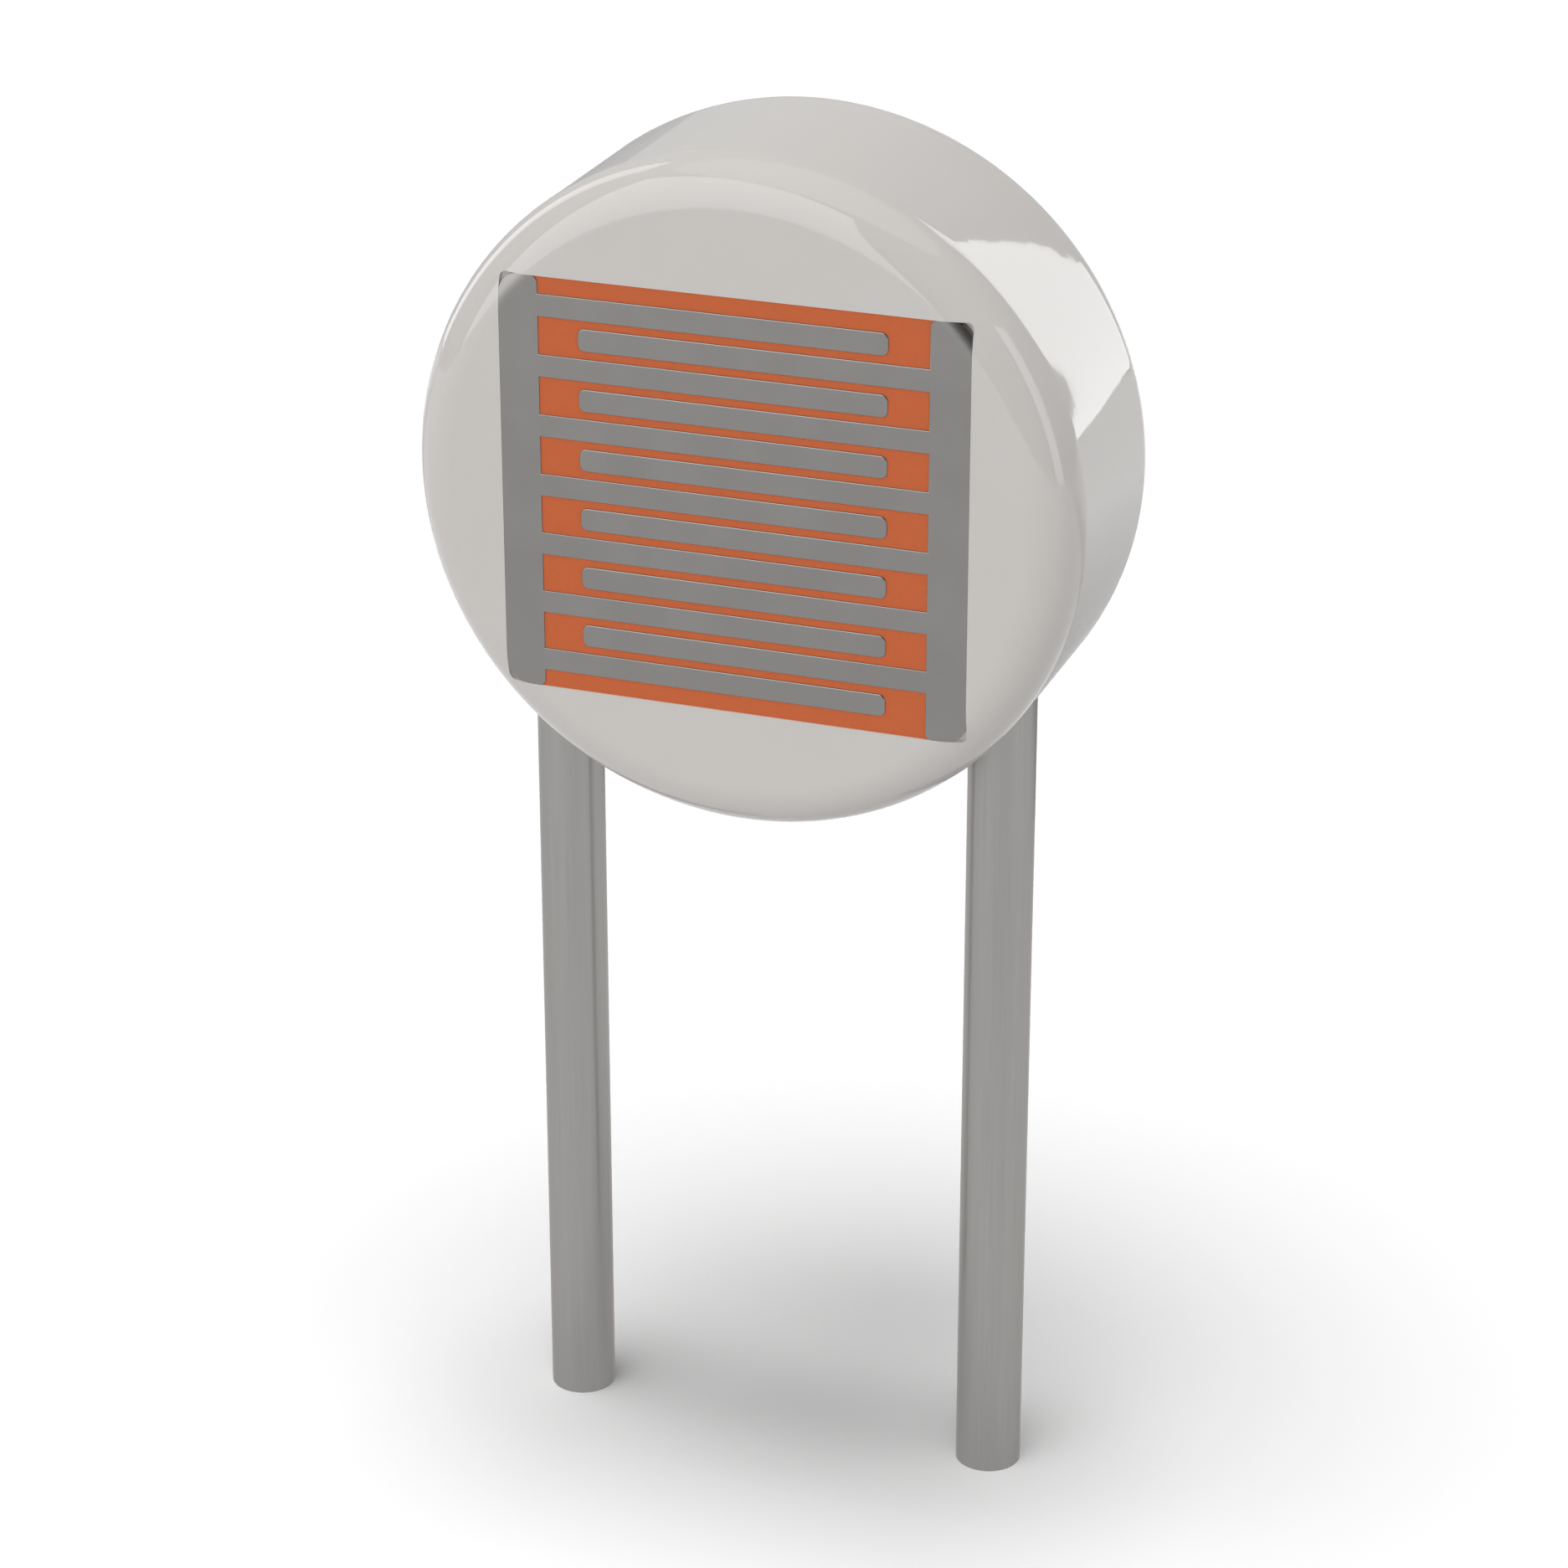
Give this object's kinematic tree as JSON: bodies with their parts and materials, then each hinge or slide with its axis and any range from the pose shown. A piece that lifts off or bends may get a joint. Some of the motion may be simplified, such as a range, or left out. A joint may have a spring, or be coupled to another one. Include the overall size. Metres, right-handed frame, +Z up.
{
  "type": "photoresistor",
  "caption": "Round light-dependent resistor: ceramic disc with a light-sensitive film under interleaved comb electrodes on its face and straight wire leads out of its underside.",
  "frame": {"origin": "midway between the tips of the two leads, which is the middle of the bottom of the part's box", "axes": "+X from the left lead to the right one as seen from the front, +Y from the sensitive face to the back, +Z up from the leads to the body"},
  "size_m": [0.005, 0.002, 0.0105],
  "materials": {
    "glazed_ceramic": "smooth off-white glaze",
    "sintered_film": "fired orange film",
    "electrode_metal": "deposited metal, satin",
    "tinned_wire": "drawn and tinned, satin",
    "conductive_cement": "cured metal-filled cement"
  },
  "bodies": {
    "root": {"ceramic_body": "glazed_ceramic", "photo_film": "sintered_film", "left_electrode": "electrode_metal", "right_electrode": "electrode_metal", "left_lead": "tinned_wire", "right_lead": "tinned_wire", "left_bond": "conductive_cement", "right_bond": "conductive_cement"}
  },
  "joints": []
}
